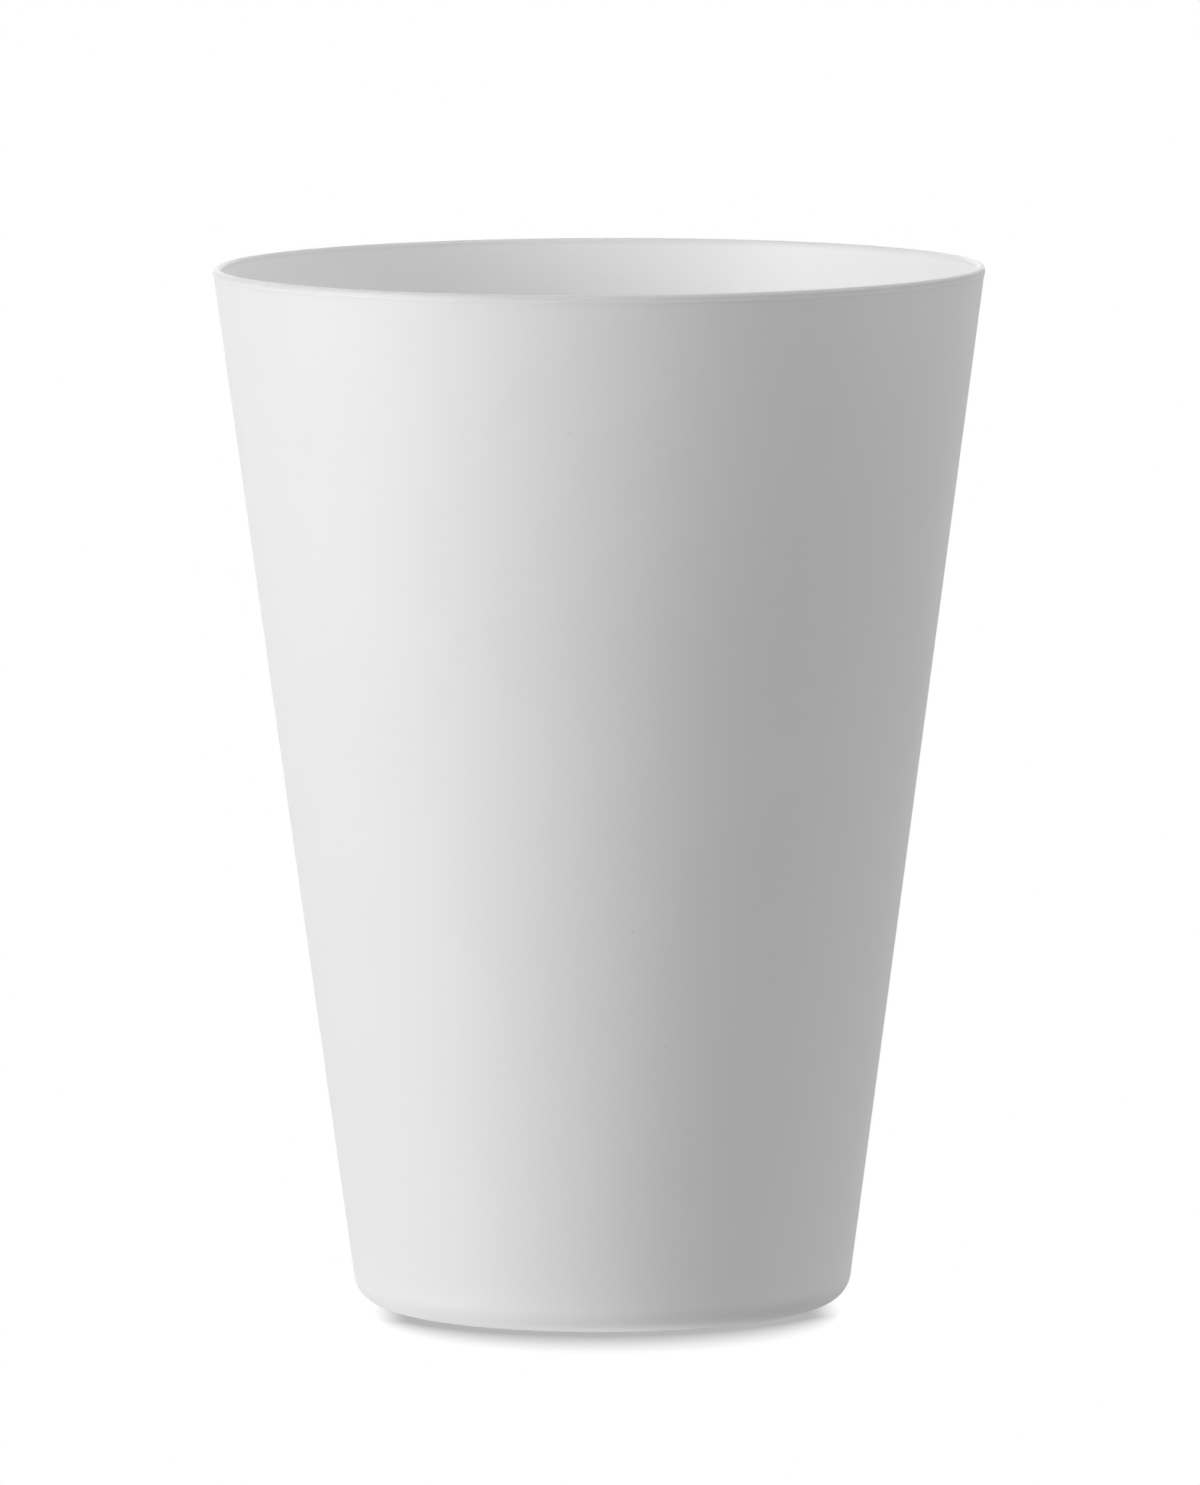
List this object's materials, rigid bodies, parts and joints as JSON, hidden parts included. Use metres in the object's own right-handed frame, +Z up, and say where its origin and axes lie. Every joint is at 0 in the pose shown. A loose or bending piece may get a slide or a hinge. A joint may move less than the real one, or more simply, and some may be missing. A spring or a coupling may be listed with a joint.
{
  "type": "reusable cup",
  "caption": "Plain white reusable drinking cup, a straight conical tumbler moulded in one piece, with a full-round lip, a rounded base edge and a foot ring.",
  "frame": {"origin": "on the cup's axis, at the plane of the foot ring", "axes": "+Z up along the cup's axis, from the base to the open mouth; the cup is round, so X and Y are free"},
  "size_m": [0.08, 0.08, 0.1082],
  "materials": {
    "cup_plastic": "opaque white polypropylene, smooth satin-matte as moulded"
  },
  "bodies": {
    "root": {"cup": "cup_plastic"}
  },
  "joints": []
}
